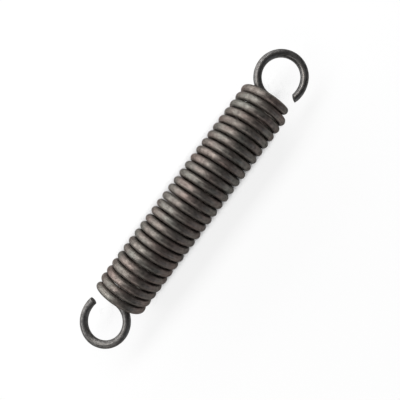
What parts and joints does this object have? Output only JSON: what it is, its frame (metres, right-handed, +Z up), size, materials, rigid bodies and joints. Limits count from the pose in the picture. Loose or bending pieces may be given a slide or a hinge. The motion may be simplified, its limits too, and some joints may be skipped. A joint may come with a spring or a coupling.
{
  "type": "extension spring",
  "caption": "Round-wire extension spring: a closely wound cylindrical coil with an open loop hook, crossed over to the middle, at each end.",
  "frame": {"origin": "middle of the spring's length, under the coil's axis, at the ground it lies on", "axes": "+X along the coil's axis, +Z up, with both hook loops lying level in the plane of the axis"},
  "size_m": [0.0902, 0.0152, 0.0142],
  "materials": {
    "spring_steel": "oil-tempered spring wire, dark grey-brown with a satin sheen and faint drawing lines"
  },
  "bodies": {
    "root": {"spring": "spring_steel"}
  },
  "joints": []
}
